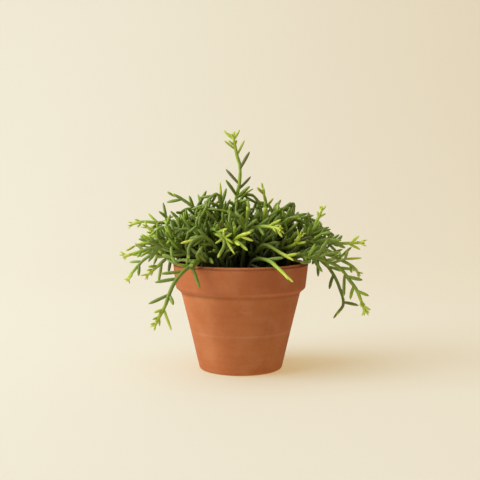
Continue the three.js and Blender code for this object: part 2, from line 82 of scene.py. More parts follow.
camera_data = bpy.data.cameras.new("camera")
camera_data.lens = 61
camera_data.sensor_width = 36
camera = bpy.data.objects.new("camera", camera_data)
camera.location = EYE
camera.rotation_euler = (math.pi / 2 - TILT_DOWN, 0, 0)
bpy.context.collection.objects.link(camera)
bpy.context.scene.camera = camera
bpy.context.scene.view_settings.view_transform = "Standard"
print("camera stands", round(-EYE.y, 3), "m from the pot's axis")

# %% [markdown]
# ## Writing finishes as sums
# A finish is a network of nodes, and most of them are sums: this noise times that mask. One small
# class wraps a node's output, so that Python's own operators add those nodes, and one method
# makes every other kind of node from its type, its settings and what feeds its sockets.


# %% A node's output with Python's operators
class Value:
    def __init__(self, finish, socket):
        self.finish = finish
        self.socket = socket

    def maths(self, operation, *terms):
        return self.finish.node("ShaderNodeMath", {"operation": operation}, dict(enumerate(terms)))

    def __add__(self, other):
        return self.maths("ADD", self, other)

    def __radd__(self, other):
        return self.maths("ADD", other, self)

    def __sub__(self, other):
        return self.maths("SUBTRACT", self, other)

    def __rsub__(self, other):
        return self.maths("SUBTRACT", other, self)

    def __mul__(self, other):
        return self.maths("MULTIPLY", self, other)

    def __rmul__(self, other):
        return self.maths("MULTIPLY", other, self)

    def __abs__(self):
        return self.maths("ABSOLUTE", self)

    def clamped(self):
        return self.maths("MINIMUM", self.maths("MAXIMUM", self, 0.0), 1.0)

    def above(self, edge, width):
        """0 below an edge and 1 above it, with a soft step of the given width."""
        return ((self - (edge - width / 2)) * (1 / width)).clamped()


# %% A finish: one material and its nodes
class Finish:
    def __init__(self, name, constants):
        self.material = bpy.data.materials.new(name)
        self.material.use_nodes = True
        self.tree = self.material.node_tree
        self.shader = self.tree.nodes["Principled BSDF"]
        for socket, value in constants.items():
            self.shader.inputs[socket].default_value = value
        self.place = self.node("ShaderNodeTexCoord", output="Object")

    def node(self, kind, settings=None, inputs=None, output=0):
        made = self.tree.nodes.new(kind)
        for key, setting in (settings or {}).items():
            if key == "stops":
                set_stops(made.color_ramp, setting)
            else:
                setattr(made, key, setting)
        for key, value in (inputs or {}).items():
            self.feed(made.inputs[key], value)
        return Value(self, made.outputs[output])

    def feed(self, socket, value):
        if isinstance(value, Value):
            self.tree.links.new(value.socket, socket)
        else:
            socket.default_value = value

    def surface(self, **values):
        for socket, value in values.items():
            self.feed(self.shader.inputs[socket.replace("_", " ")], value)

    def noise(self, scale, detail, place=None):
        inputs = {"Vector": place or self.place, "Scale": scale, "Detail": detail}
        return self.node("ShaderNodeTexNoise", inputs=inputs)

    def stretched(self, x, y, z):
        """The place on the object, with each direction multiplied."""
        return self.node("ShaderNodeMapping", inputs={"Vector": self.place, "Scale": (x, y, z)})

    def height(self):
        return self.node("ShaderNodeSeparateXYZ", inputs={0: self.place}, output="Z")

    def length(self, vector):
        return self.node("ShaderNodeVectorMath", {"operation": "LENGTH"}, {0: vector}, "Value")

    def attribute(self, name):
        return self.node("ShaderNodeAttribute", {"attribute_name": name}, output="Fac")

    def ramp(self, factor, stops):
        return self.node("ShaderNodeValToRGB", {"stops": stops}, {0: factor})

    def blend(self, low, high, factor):
        return self.node("ShaderNodeMix", {"data_type": "RGBA"}, {0: factor, 6: low, 7: high}, 2)

    def bump(self, height, depth):
        inputs = {"Height": height, "Distance": depth, "Strength": 1.0}
        return self.node("ShaderNodeBump", inputs=inputs)


def set_stops(ramp, stops):
    while len(ramp.elements) < len(stops):
        ramp.elements.new(0.5)
    for element, (position, colour) in zip(ramp.elements, stops):
        element.position = position
        element.color = colour


def screen(red, green, blue):
    """A colour named from 0 to 255, as on a screen, as the linear colour that the nodes use."""
    shares = [part / 255 for part in (red, green, blue)]
    return (*[((share + 0.055) / 1.055) ** 2.4 for share in shares], 1.0)


print("a pale cream as nodes take it:", [round(part, 3) for part in screen(240, 233, 216)])

# %% [markdown]
# ## The paper floor
# A grid's back edge is extruded and lifted, and the fold is bevelled into a wide curve, so that
# floor and wall are one sheet. The paper is plain: only a faint mottle keeps it from looking dead.
# The sheet glows a little and warmly, a painted glow with no lamp behind it, which lightens the
# pot's shadow on it, so that the shadow stays faint and warm.

# %% Helpers: what an extrusion made, and from a bmesh to an object
def rings_of(geom):
    """The vertices and the edges among what an extrusion made."""
    verts = [item for item in geom if isinstance(item, bmesh.types.BMVert)]
    edges = [item for item in geom if isinstance(item, bmesh.types.BMEdge)]
    return verts, edges


def finished(name, bm, finish):
    """The bmesh as an object at the origin: faces outward, smooth shading and its finish."""
    bmesh.ops.recalc_face_normals(bm, faces=bm.faces)
    mesh = bpy.data.meshes.new(name)
    bm.to_mesh(mesh)
    bm.free()
    for face in mesh.polygons:
        face.use_smooth = True
    mesh.materials.append(finish.material)
    made = bpy.data.objects.new(name, mesh)
    bpy.context.collection.objects.link(made)
    return made


# %% Floor and backdrop
FLOOR_HALF = 2.0
BACK_HEIGHT = 2.2
FOLD_RADIUS = 1.3

paper = Finish("cream paper", {"Roughness": 0.92, "Specular IOR Level": 0.2})
mottle = paper.noise(3.0, detail=2.0)
paper.surface(Base_Color=paper.blend((0.345, 0.47, 0.55, 1), (0.355, 0.48, 0.565, 1), mottle))
# painted glow: the paper gives off a warm light of its own, which lifts the shadow cast on it
paper.surface(Emission_Color=(0.51, 0.34, 0.145, 1), Emission_Strength=1.0)

bm = bmesh.new()
bmesh.ops.create_grid(bm, x_segments=1, y_segments=1, size=FLOOR_HALF)
back = [edge for edge in bm.edges if all(vert.co.y > 0 for vert in edge.verts)]
lifted, _ = rings_of(bmesh.ops.extrude_edge_only(bm, edges=back)["geom"])
bmesh.ops.translate(bm, vec=(0, 0, BACK_HEIGHT), verts=lifted)
fold = [edge for edge in bm.edges if all(v.co.y > 0 and v.co.z == 0 for v in edge.verts)]
bmesh.ops.bevel(bm, geom=fold, offset=FOLD_RADIUS, segments=24, profile=0.5, affect="EDGES",
                material=-1)
floor = finished("paper_floor", bm, paper)
floor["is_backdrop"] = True
print("floor folds up behind the pot at", round(FLOOR_HALF - FOLD_RADIUS, 2), "m")


# %% Lights
def soft_light(name, place, target, width, depth, power, colour):
    data = bpy.data.lights.new(name, "AREA")
    data.shape = "RECTANGLE"
    data.size = width
    data.size_y = depth
    data.energy = power
    data.color = colour
    light = bpy.data.objects.new(name, data)
    light.location = place
    light.rotation_euler = (Vector(target) - Vector(place)).to_track_quat("-Z", "Y").to_euler()
    bpy.context.collection.objects.link(light)


soft_light("window", (-1.7, -0.5, 0.85), (0, 0, 0.06), 1.8, 1.3, 33, (0.96, 0.99, 0.98))
soft_light("ceiling", (-0.7, 0.2, 2.4), (-0.1, 0.4, 0), 2.6, 2.4, 29, (1.0, 0.95, 0.87))
soft_light("backdrop light", (-1.3, 0.1, 1.9), (-0.1, 1.9, 0.5), 1.4, 1.4, 5, (1.0, 0.98, 0.94))

world = bpy.data.worlds.new("room")
world.use_nodes = True
room = world.node_tree.nodes["Background"].inputs
room["Color"].default_value = (1.0, 0.91, 0.79, 1)
room["Strength"].default_value = 0.23
bpy.context.scene.world = world
print("lights:", [item.name for item in bpy.data.lights])

# %% [markdown]
# ## The clay pot
# A clay pot is thrown or pressed round an axis, so it is one profile spun about Z: foot, tapered
# wall, the bevel under the rim band, the band with its soft crease, the lip, and back down inside.
# The profile is a short list of corners, each rounded by a quarter turn where clay would be round.

# %% The pot's profile, in millimetres
POT_HEIGHT = 88.5
FLOOR_THICKNESS = 7
MOUTH_RADIUS = 49.5
INSIDE_FOOT_RADIUS = 31
DRAIN_RADIUS = 7


def inside_radius(z):
    rise = (z - FLOOR_THICKNESS) / (POT_HEIGHT - FLOOR_THICKNESS)
    return INSIDE_FOOT_RADIUS + (MOUTH_RADIUS - INSIDE_FOOT_RADIUS) * rise


def rounded(corners, steps=5):
    """A profile with each corner [radius, height, rounding] replaced by a short curve."""
    points = []
    for before, corner, after in zip(corners[:-2], corners[1:-1], corners[2:]):
        middle = np.array(corner[:2], float)
        arms = [np.array(end[:2], float) - middle for end in (before, after)]
        start, end = (middle + arm / np.linalg.norm(arm) * corner[2] for arm in arms)
        for share in np.linspace(0, 1, steps):
            across = 2 * share * (1 - share) * middle
            points.append((1 - share) ** 2 * start + across + share**2 * end)
    return [np.array(corners[0][:2], float), *points, np.array(corners[-1][:2], float)]


POT_CORNERS = [
    (DRAIN_RADIUS, 3.5, 0),
    (DRAIN_RADIUS, 0.0, 0.8),
    (34.2, 0.0, 2.4),
    (41.85, 32.9, 1.0),
    (42.4, 35.1, 1.0),
    (49.2, 62.9, 0.5),
    (49.9, 64.4, 0.8),
    (53.7, 67.7, 0.9),
    (55.7, 84.5, 3.0),
    (56.0, POT_HEIGHT, 2.3),
    (inside_radius(POT_HEIGHT), POT_HEIGHT, 2.2),
    (INSIDE_FOOT_RADIUS, FLOOR_THICKNESS, 3.0),
    (DRAIN_RADIUS, FLOOR_THICKNESS, 0.8),
    (DRAIN_RADIUS, 3.5, 0),
]
pot_profile = rounded(POT_CORNERS)
print("pot profile:", len(pot_profile), "points")


# %% Spinning a profile
def spun(profile, steps):
    """A bmesh of a profile in millimetres, spun all the way round the vertical axis."""
    bm = bmesh.new()
    verts = [bm.verts.new((radius * MM, 0, height * MM)) for radius, height in profile]
    edges = [bm.edges.new(pair) for pair in zip(verts[:-1], verts[1:])]
    bmesh.ops.spin(bm, geom=verts + edges, cent=(0, 0, 0), axis=(0, 0, 1), angle=2 * math.pi,
                   steps=steps, use_merge=True, use_duplicate=False)
    bmesh.ops.remove_doubles(bm, verts=bm.verts, dist=1e-6)
    return bm


# %% Long straight walls get more rings
def with_rings(profile, longest):
    """The profile with points added, so that no stretch is longer than the given length."""
    points = [profile[0]]
    for start, end in zip(profile[:-1], profile[1:]):
        count = max(1, math.ceil(np.linalg.norm(end - start) / longest))
        points += [start + (end - start) * (i / count) for i in range(1, count + 1)]
    return points


# %% [markdown]
# ## Fired clay
# The clay is orange-brown, paler where salts have dried on it and a little redder on the band.
# Bands of tone run round the wall, as the thrower's hands leave them, so their noise is squashed
# flat: many cycles up the wall and few around it. Grains of grog and pores are fine bumps.

# %% The clay finish
clay = Finish("fired clay", {"Roughness": 0.85, "Specular IOR Level": 0.25})
height = clay.height()
cloud = clay.noise(22, detail=4)
bands = clay.noise(1.0, detail=3, place=clay.stretched(14, 14, 260))
grain = clay.noise(900, detail=2)
salt = clay.noise(55, detail=5).above(0.62, 0.25)
ring = (1 - abs(height - 0.0325) * 620).clamped() * cloud.above(0.4, 0.25)
# painted shade: a thin dark line in the crease at the foot of the bevel under the rim band
crease_shade = (1 - abs(height - 0.0642) * 460).clamped()
tone = (cloud * 0.65 + bands * 0.2 + grain * 0.15).clamped()
body = clay.ramp(tone, [
    (0.3, screen(174, 98, 57)), (0.55, screen(193, 116, 69)), (0.8, screen(211, 138, 87)),
])
redder = clay.blend(body, screen(178, 96, 58), height.above(0.066, 0.004) * 0.45)
salted = clay.blend(redder, screen(218, 160, 118), salt * 0.2 + ring * 0.2)
crease_shaded = clay.blend(salted, screen(110, 56, 34), crease_shade * 0.35)
grog = clay.node("ShaderNodeTexVoronoi", inputs={"Vector": clay.place, "Scale": 420.0})
specks = 1 - grog.above(0.16, 0.1)
clay.surface(
    Base_Color=clay.blend(crease_shaded, screen(120, 66, 42), specks * 0.3),
    Roughness=0.8 + 0.12 * cloud,
    Normal=clay.bump(grain * 0.5 + bands * 0.5 - specks * 0.3, 0.00025),
)
bm = spun(with_rings(pot_profile, 6.0), 128)
pot = finished("clay_pot", bm, clay)
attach(pot, "root")
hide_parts("terracotta_pot")
print("pot faces:", len(pot.data.polygons))

# %% [markdown]
# ## Soil
# Potting soil is peat and bark, crumbly and almost black. Its mound is a spun profile whose top is
# shaken by two sizes of noise, and loose crumbs are small, squashed icospheres strewn over it.

# %% Soil, mounded and crumbled
GAP = 0.3
SOIL_EDGE_Z = 74.5
SOIL_MOUND = 3
SOIL_TOP_Z = SOIL_EDGE_Z + SOIL_MOUND
SOIL_FOOT_Z = 7.3
MOUND_SHARES = [(0, 0), (0.4, 0.16), (0.75, 0.56), (1, 1)]


def seeded(seed):
    """Numbers from 0 to 1 that look random and are the same on every run."""
    state = seed
    while True:
        state = (state * 1664525 + 1013904223) % 4294967296
        yield state / 4294967296


soil_edge = inside_radius(SOIL_EDGE_Z) - GAP
mound = [np.array([soil_edge * out, SOIL_TOP_Z - SOIL_MOUND * drop]) for out, drop in MOUND_SHARES]
soil_profile = with_rings(mound, 1.6) + [np.array(point) for point in [
    (inside_radius(SOIL_FOOT_Z + 1) - GAP, SOIL_FOOT_Z + 1), (30, SOIL_FOOT_Z), (0, SOIL_FOOT_Z),
]]
bm = spun(soil_profile, 96)
for vert in bm.verts:
    if vert.co.z > 0.074 and vert.co.xy.length < soil_edge * MM * 0.985:
        lumps = noise.noise(vert.co * 160) * 0.9 + noise.noise(vert.co * 520) * 0.7
        vert.co.z += lumps * MM

# %% Loose crumbs
CRUMBS = 420
shake = seeded(21)
for _ in range(CRUMBS):
    out = soil_edge * 0.96 * math.sqrt(next(shake))
    turn = 2 * math.pi * next(shake)
    size = 0.5 + 1.3 * next(shake) ** 2
    z = SOIL_TOP_Z - SOIL_MOUND * (out / soil_edge) ** 2 + 0.2
    place = Matrix.Translation(Vector((out * math.cos(turn), out * math.sin(turn), z)) * MM)
    squash = Matrix.Diagonal((1, 0.5 + 0.5 * next(shake), 0.5, 1))
    lie = Matrix.Rotation(6.28 * next(shake), 4, "Z") @ Matrix.Rotation(next(shake), 4, "X")
    bmesh.ops.create_icosphere(bm, subdivisions=1, radius=size * MM, matrix=place @ lie @ squash)

peat = Finish("peat", {"Roughness": 0.95, "Specular IOR Level": 0.15})
clods = peat.noise(300, detail=5)
fibre = peat.noise(1500, detail=2)
peat.surface(
    Base_Color=peat.ramp(clods, [
        (0.35, screen(22, 16, 11)), (0.6, screen(44, 33, 23)), (0.8, screen(74, 57, 40)),
    ]),
    Roughness=0.85 + 0.15 * fibre,
    Normal=peat.bump(clods * 0.7 + fibre * 0.3, 0.0008),
)
soil = finished("mounded_soil", bm, peat)
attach(soil, "root")
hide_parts("potting_soil")
print("soil faces:", len(soil.data.polygons))

# %% [markdown]
# ## Where the stems run
# Each stem was laid or grown by a rule in the construction model. The same rule, with the same
# numbers in the same order, is repeated here in millimetres, so the finished stems follow their
# solids. A laid stem has, in this order: its root, the length of its young end, its marks, which
# of its tips are lime, its route, and the tips of its side segments. A tip's fourth number says how
# far back its segment leaves the stem. The mark "front" is for a stem that stands out at the front,
# "star" for one that ends in a star of tiny segments; the mark "fresh" is listed, but nothing here
# reads it.

# %% The laid stems
LAID_STEMS = {
    "crown_stem": [
        (0, 6), 36, "star", (5, 6, 7, 8, 9),
        [(0, 6, 106), (-3, 5, 128), (-4, 3, 140), (-1, 1, 154), (-1, 0, 167), (-4, -1, 177),
         (-7, -3, 192)],
        [(7, -5, 179), (-12, 5, 165), (8, 4, 159), (-12, -4, 156), (7, -7, 151), (10, 10, 149),
         (-13, -6, 188), (3, 2, 189), (-14, -1, 197), (-1, -4, 197)],
    ],
    "arching_stem_right": [
        (6, 15), 3, "", (),
        [(-1, 13, 119), (0, 10, 140), (7, 8, 144), (12, 8, 142), (16, 8, 136), (18, 8, 128)],
        [(-2, 14, 138), (24, 5, 134)],
    ],
    "upright_stem_right": [
        (11, 14), 24, "front fresh", (0, 1),
        [(15, 15, 104), (18, 14, 121), (21, 13, 133), (21, 12, 141), (19, 12, 149)],
        [(14, 8, 150), (27, 9, 141), (24, 14, 136)],
    ],
    "forked_stem_left": [
        (-12, 14), 4, "", (),
        [(-24, 12, 119), (-32, 12, 129), (-38, 12, 132), (-43, 12, 136), (-50, 12, 140),
         (-57, 12, 144)],
        [(-62, 15, 138), (-43, 9, 143), (-36, 15, 144), (-29, 9, 147)],
    ],
    "arching_stem_left": [
        (-8, 1), 4, "", (0,),
        [(-12, 0, 119), (-16, -2, 138), (-19, -4, 145), (-27, -6, 140), (-32, -8, 131),
         (-35, -9, 125)],
        [(-17, -2, 154), (-12, -6, 149), (-34, -1, 142), (-26, -14, 127)],
    ],
    "far_stem_left": [
        (-18, 8), 26, "star fresh", (0,),
        [(-30, 10, 108), (-43, 14, 118), (-51, 16, 119), (-60, 18, 120), (-72, 20, 121),
         (-83, 20, 121), (-92, 20, 119)],
        [(-79, 22, 128), (-69, 14, 130), (-66, 20, 137), (-59, 14, 130), (-49, 18, 130),
         (-77, 24, 114)],
    ],
    "lime_stem_left": [
        (-21, -1), 30, "star fresh", (),
        [(-34, -3, 96), (-42, -4, 102), (-54, -5, 104), (-63, -6, 106), (-72, -8, 114),
         (-77, -9, 118)],
        [(-78, -3, 111), (-58, -9, 115), (-68, -12, 120)],
    ],
    "level_stem_left": [
        (-18, -9), 16, "", (0,),
        [(-30, -11, 93), (-43, -13, 99), (-56, -15, 105), (-65, -16, 108), (-74, -17, 106),
         (-82, -17, 104)],
        [(-79, -15, 111), (-66, -20, 100), (-63, -18, 116), (-52, -12, 113)],
    ],
    "star_stem_left": [
        (-22, -17), 24, "star fresh", (),
        [(-34, -20, 93), (-45, -22, 98), (-57, -24, 102), (-69, -25, 102), (-79, -26, 99),
         (-92, -26, 96)],
        [(-82, -28, 95), (-74, -22, 91), (-73, -30, 108), (-57, -29, 110)],
    ],
    "drooping_stem_left": [
        (-24, 18), 18, "star", (),
        [(-36, 21, 93), (-49, 25, 99), (-66, 28, 99), (-81, 31, 90), (-89, 33, 82), (-99, 38, 70)],
        [(-97, 36, 85), (-89, 32, 74), (-75, 26, 84), (-73, 33, 103)],
    ],
    "low_stem_left": [
        (-29, 4), 22, "star", (),
        [(-38, 6, 89), (-47, 8, 93), (-55, 8, 94), (-62, 8, 91), (-70, 8, 84), (-79, 8, 77)],
        [(-77, 5, 84), (-69, 6, 71), (-61, 10, 79), (-55, 4, 84)],
    ],
    "trailing_stem_left": [
        (-17, -28), 24, "star", (3, 4),
        [(-23, -34, 91), (-30, -41, 94), (-38, -52, 91), (-47, -64, 82), (-53, -72, 71),
         (-57, -78, 61), (-63, -84, 50)],
        [(-60, -62, 85), (-64, -66, 79), (-68, -74, 64), (-63, -83, 59), (-51, -83, 46),
         (-50, -78, 64), (-31, -62, 74, 13)],
    ],
    "leaning_stem_right": [
        (15, 7), 4, "", (),
        [(20, 9, 105), (26, 10, 119), (32, 10, 127), (37, 10, 133), (42, 10, 138), (44, 10, 136),
         (44, 10, 130)],
        [(21, 6, 132), (38, 16, 126)],
    ],
    "arching_stem_outer_right": [
        (17, 1), 8, "", (),
        [(26, 2, 102), (36, 3, 119), (44, 4, 126), (50, 4, 127), (55, 4, 124), (57, 4, 115)],
        [(38, -4, 128), (62, 8, 123), (46, 9, 115), (31, -3, 121)],
    ],
    "star_stem_right": [
        (18, -6), 18, "star fresh", (),
        [(28, -7, 93), (38, -8, 101), (50, -10, 105), (57, -11, 111), (63, -12, 124),
         (66, -12, 132)],
        [(71, -15, 118), (73, -8, 116), (52, -14, 120), (46, -6, 114)],
    ],
    "far_stem_right": [
        (24, 1), 24, "star", (2, 3),
        [(32, 1, 91), (43, 0, 98), (56, -6, 105), (73, -12, 105), (82, -14, 105), (92, -16, 106),
         (97, -18, 106)],
        [(82, -15, 111), (85, -10, 101), (95, -19, 111), (97, -12, 100), (68, -8, 113),
         (69, -4, 98)],
    ],
    "spreading_stem_right": [
        (24, 10), 18, "star", (1,),
        [(34, 12, 90), (48, 16, 94), (66, 20, 95), (78, 22, 92), (89, 22, 87), (97, 22, 82),
         (101, 22, 77)],
        [(87, 24, 97), (103, 20, 90), (95, 20, 78), (70, 16, 103), (76, 22, 82)],
    ],
    "trailing_stem_right": [
        (17, -17), 28, "star", (3,),
        [(28, -20, 91), (42, -24, 96), (57, -27, 95), (71, -29, 91), (79, -29, 86), (85, -29, 78),
         (92, -29, 69), (96, -29, 60), (99, -29, 52)],
        [(89, -27, 85), (96, -32, 77), (102, -28, 64), (103, -30, 53), (88, -25, 61), (82, -33, 65),
         (64, -35, 84), (66, -31, 101)],
    ],
    "drooping_stem_right": [
        (20, 19), 4, "", (),
        [(31, 22, 91), (45, 26, 95), (63, 29, 91), (74, 30, 83), (81, 30, 74), (86, 30, 63),
         (89, 30, 50), (84, 31, 41)],
        [(67, 27, 74), (102, 29, 48, 2), (91, 33, 58), (77, 27, 63), (91, 34, 77)],
    ],
    "rim_stem_front": [
        (5, -24), 28, "", (),
        [(9, -28, 91), (15, -36, 95), (23, -46, 93), (29, -53, 88), (36, -60, 82)],
        [(19, -34, 84), (32, -46, 96)],
    ],
    "level_stem_front": [
        (6, -12), 24, "front", (),
        [(9, -15, 93), (13, -22, 99), (17, -28, 104), (22, -33, 104), (30, -39, 100),
         (37, -45, 96)],
        [(18, -32, 92), (29, -30, 107), (43, -46, 99)],
    ],
    "star_stem_front": [
        (2, -4), 22, "front star fresh", (0, 3),
        [(3, -8, 98), (5, -17, 110), (10, -26, 118), (20, -34, 120), (30, -41, 118)],
        [(31, -38, 125), (22, -30, 126), (18, -38, 113), (32, -42, 112)],
    ],
    "lime_stem_front": [
        (-12, -8), 3, "front fresh", (0, 1),
        [(-18, -12, 104), (-23, -22, 116), (-19, -32, 116), (-13, -40, 111), (-13, -45, 104),
         (-17, -48, 97)],
        [(-11, -43, 118), (-5, -47, 99), (-8, -38, 114)],
    ],
    "band_stem_front": [
        (-11, -20), 24, "front fresh", (1, 2),
        [(-10, -24, 96), (-9, -31, 104), (-5, -37, 108), (-1, -42, 112), (4, -46, 114)],
        [(5, -50, 102), (9, -46, 109), (-1, -50, 106), (10, -38, 117)],
    ],
    "lime_stem_right": [
        (11, -3), 20, "front star fresh", (0,),
        [(18, -6, 92), (29, -13, 99), (38, -21, 102), (44, -27, 106), (47, -30, 112)],
        [(51, -32, 107), (37, -20, 111), (34, -24, 94)],
    ],
    "arching_stem_front": [
        (-11, -28), 2, "front", (0,),
        [(-16, -31, 97), (-22, -35, 107), (-29, -40, 111), (-36, -44, 109), (-40, -47, 104),
         (-41, -48, 96)],
        [(-46, -45, 107), (-27, -45, 93), (-33, -38, 117), (-21, -46, 102)],
    ],
}
print("laid stems:", len(LAID_STEMS))

# %% [markdown]
# The ruled stems come in kinds. Each has a count, the sector that it fills in degrees, and the
# ranges of its reach, of the height of its end, and of the rise of its arch.

# %% The rule's numbers, in millimetres
RIM_TOP_RADIUS = 56
STEM_RADIUS = 1.5
SEGMENT_RADIUS = 1.35
SEGMENT_LENGTH = 12
LONGEST_SEGMENT = 17
YOUNG_RADIUS = 1.1
YOUNG_LENGTH = 5
YOUNG_OVERLAP = 2
ROOT_SPACING = 4.8
COLLAR_Z = SOIL_TOP_Z + 2.5
LEAN = math.radians(42)
NODE_PITCH = 13
STEM_STEP = 9
WATERING_GAP = ((-17, -43, 78.5), (-7, -33, 88))
BARE_Z = 98
DOME = (97, 84, 61)
DOME_EDGE = 0.15
RULED_STEMS = {
    "inner_stem": (12, (-150, 210), (10, 44), (118, 138), (2, 8)),
    "outer_stem": (9, (-30, 210), (60, 84), (94, 114), (12, 22)),
    "back_trailing_stem": (4, (68, 112), (77, 82), (52, 78), (30, 38)),
}

numbers = seeded(7)


def between(low, high):
    return low + (high - low) * next(numbers)


print("ruled stems:", sum(count for count, *_ in RULED_STEMS.values()))


# %% The smooth curve through a stem's points
class Curve:
    """A Catmull-Rom curve, which passes through each of its points."""

    def __init__(self, points):
        points = np.array(points, float)
        ends = [2 * points[0] - points[1]], [2 * points[-1] - points[-2]]
        self.padded = np.vstack([ends[0], points, ends[1]])
        self.pieces = len(points) - 1
        self.shares = np.linspace(0, 1, 201)
        hops = np.linalg.norm(np.diff(self.at(self.shares), axis=0), axis=1)
        self.lengths = np.concatenate([[0], np.cumsum(hops)])

    def at(self, shares):
        place = np.asarray(shares) * self.pieces
        index = np.minimum(place.astype(int), self.pieces - 1)
        weight = (place - index)[:, None]
        before, start, end, after = (self.padded[index + i] for i in range(4))
        leave, arrive = 0.5 * (end - before), 0.5 * (after - start)
        square = 3 * (end - start) - 2 * leave - arrive
        cube = 2 * (start - end) + leave + arrive
        return start + leave * weight + square * weight**2 + cube * weight**3

    def spaced(self, count):
        """Points that cut the curve into a number of stretches of one length."""
        targets = np.linspace(0, self.lengths[-1], count + 1)
        return self.at(np.interp(targets, self.lengths, self.shares))


# %% Taken space
class TakenSpace:
    """The stretches where stems already are: start, end, radius and whose they are."""

    def __init__(self, most=16000):
        self.start = np.zeros((most, 3))
        self.end = np.zeros((most, 3))
        self.radius = np.zeros(most)
        self.owner = np.zeros(most, int)
        self.count = 0

    def take(self, start, end, radius, owner):
        i = self.count
        self.start[i], self.end[i], self.radius[i], self.owner[i] = start, end, radius, owner
        self.count += 1

    def is_free(self, start, end, radius, owner, gap=GAP):
        if not clears_pot(start, end, radius) or not clears_gap(start, end, radius):
            return False
        others = np.flatnonzero(self.owner[: self.count] != owner)
        if not len(others):
            return True
        apart = distances(start, end, self.start[others], self.end[others])
        return bool(np.all(apart > radius + self.radius[others] + gap))


def distances(a, b, c, d):
    """The shortest distances between the stretch from a to b and each stretch from c to d."""
    u, v, w = b - a, d - c, a - c
    uu, uv, vv = u @ u, v @ u, (v * v).sum(1)
    uw, vw = w @ u, (v * w).sum(1)
    det = uu * vv - uv * uv
    crossing = det > 1e-6
    s = np.where(crossing, np.clip((uv * vw - vv * uw) / np.where(crossing, det, 1), 0, 1), 0)
    t = np.clip((uv * s + vw) / vv, 0, 1)
    s = np.clip((uv * t - uw) / uu, 0, 1)
    return np.linalg.norm(a + s[:, None] * u - c - t[:, None] * v, axis=1)


def samples(start, end):
    return [start + (end - start) * share for share in np.linspace(0, 1, 9)]


def clears_gap(start, end, radius):
    """Whether a stretch keeps out of the gap that is left for watering."""
    low = np.array(WATERING_GAP[0]) - radius - GAP
    high = np.array(WATERING_GAP[1]) + radius + GAP
    return not any(np.all(point >= low) and np.all(point <= high) for point in samples(start, end))


def clears_pot(start, end, radius):
    """Whether a stretch is clear of the pot and the soil."""
    room = radius + 2 * GAP
    for x, y, z in samples(start, end):
        out = math.hypot(x, y)
        if out < MOUTH_RADIUS - room - 1:
            if z <= SOIL_TOP_Z + room:
                return False
        elif z <= POT_HEIGHT + room and out <= RIM_TOP_RADIUS + room:
            return False
    return True


taken = TakenSpace()
print("room for", len(taken.radius), "stretches")


# %% Directions that lean off a stem
def unit(vector):
    return vector / np.linalg.norm(vector)


def leaning(along, lean, turn):
    """A direction that leans off another by an angle, turned about it."""
    helper = np.array([0.0, 0, 1]) if abs(along[2]) < 0.9 else np.array([1.0, 0, 0])
    across = unit(np.cross(along, helper))
    upward = np.cross(across, along)
    sideways = across * math.cos(turn) + upward * math.sin(turn)
    return along * math.cos(lean) + sideways * math.sin(lean)


# %% A stem
class Stem:
    def __init__(self, name, number, points):
        self.name = name
        self.number = number
        self.points = [np.array(point, float) for point in points]
        self.curve = Curve(self.points)
        self.route = self.curve.spaced(int(self.curve.lengths[-1] / STEM_STEP + 0.5))
        self.hops = np.linalg.norm(np.diff(self.route, axis=0), axis=1)
        self.starts = np.concatenate([[0], np.cumsum(self.hops)[:-1]])
        self.length = float(self.hops.sum())
        self.pairs_to = self.length - 8
        self.segments = []
        self.second = []
        self.young, self.marks, self.lime = None, "", ()

    def place_at(self, distance):
        """The point at a distance along the stem, and the stem's direction there."""
        beyond = np.flatnonzero(distance < self.starts + self.hops)
        i = beyond[0] if len(beyond) else len(self.hops) - 1
        along = (self.route[i + 1] - self.route[i]) / self.hops[i]
        return self.route[i] + along * (distance - self.starts[i]), along

    def foot_distance(self, tip, back=None):
        """How far along the stem the side segment that ends at a tip leaves it."""
        start, hop = self.route[:-1], np.diff(self.route, axis=0)
        share = np.maximum(0, ((tip - start) * hop).sum(1) / self.hops**2)
        share[:-1] = np.minimum(1, share[:-1])
        nearest = start + hop * share[:, None]
        gaps = np.linalg.norm(nearest - tip, axis=1)
        i = int(np.argmin(gaps))
        if back is None:
            longest = math.sqrt(max(0, LONGEST_SEGMENT**2 - gaps[i] ** 2))
            back = min(gaps[i] / math.tan(LEAN), longest)
        foot = self.starts[i] + share[i] * self.hops[i] - back
        return min(max(0, foot), self.length - YOUNG_OVERLAP)


stems = []


def grow_stem(name, points):
    """The stem through the points, or nothing where it would meet another."""
    stem = Stem(name, len(stems) + 1, points)
    pairs = list(zip(stem.route[:-1], stem.route[1:]))
    if not all(taken.is_free(start, end, STEM_RADIUS, stem.number) for start, end in pairs):
        return None
    for start, end in pairs:
        taken.take(start, end, STEM_RADIUS, stem.number)
    stems.append(stem)
    return stem


# %% A side segment
class Segment:
    def __init__(self, foot, tip, radius, distance):
        self.foot = foot
        self.tip = tip
        self.radius = radius
        self.distance = distance
        self.laid = None
        self.length = float(np.linalg.norm(tip - foot))


def grow_segment(stem, foot, tip, radius, distance, gap=GAP):
    """A side segment of a stem, or nothing where there is no room for it."""
    if not taken.is_free(foot, tip, radius, stem.number, gap):
        return None
    taken.take(foot, tip, radius, stem.number)
    stem.segments.append(Segment(foot, tip, radius, distance))
    return stem.segments[-1]


# %% Laying the laid stems
LIFTS = (0, 2, -2, 4)
SHIFTS = (0, 3, -3, 6, -6, 9, -9)
NUDGES = (0, 2, -2, 4, -4, 6, -6)


def lay_stem(name, root, young, marks, lime, route, tips):
    for lift in LIFTS:
        for shift in SHIFTS:
            shares = [min(1, (i + 1) / 2) for i in range(len(route))]
            moved = [(x, y + shift * s, z + lift * s) for (x, y, z), s in zip(route, shares)]
            stem = grow_stem(name, [(*root, COLLAR_Z), *moved])
            if stem:
                stem.shift, stem.tips = shift, tips
                stem.young, stem.marks, stem.lime = young, marks, lime
                return


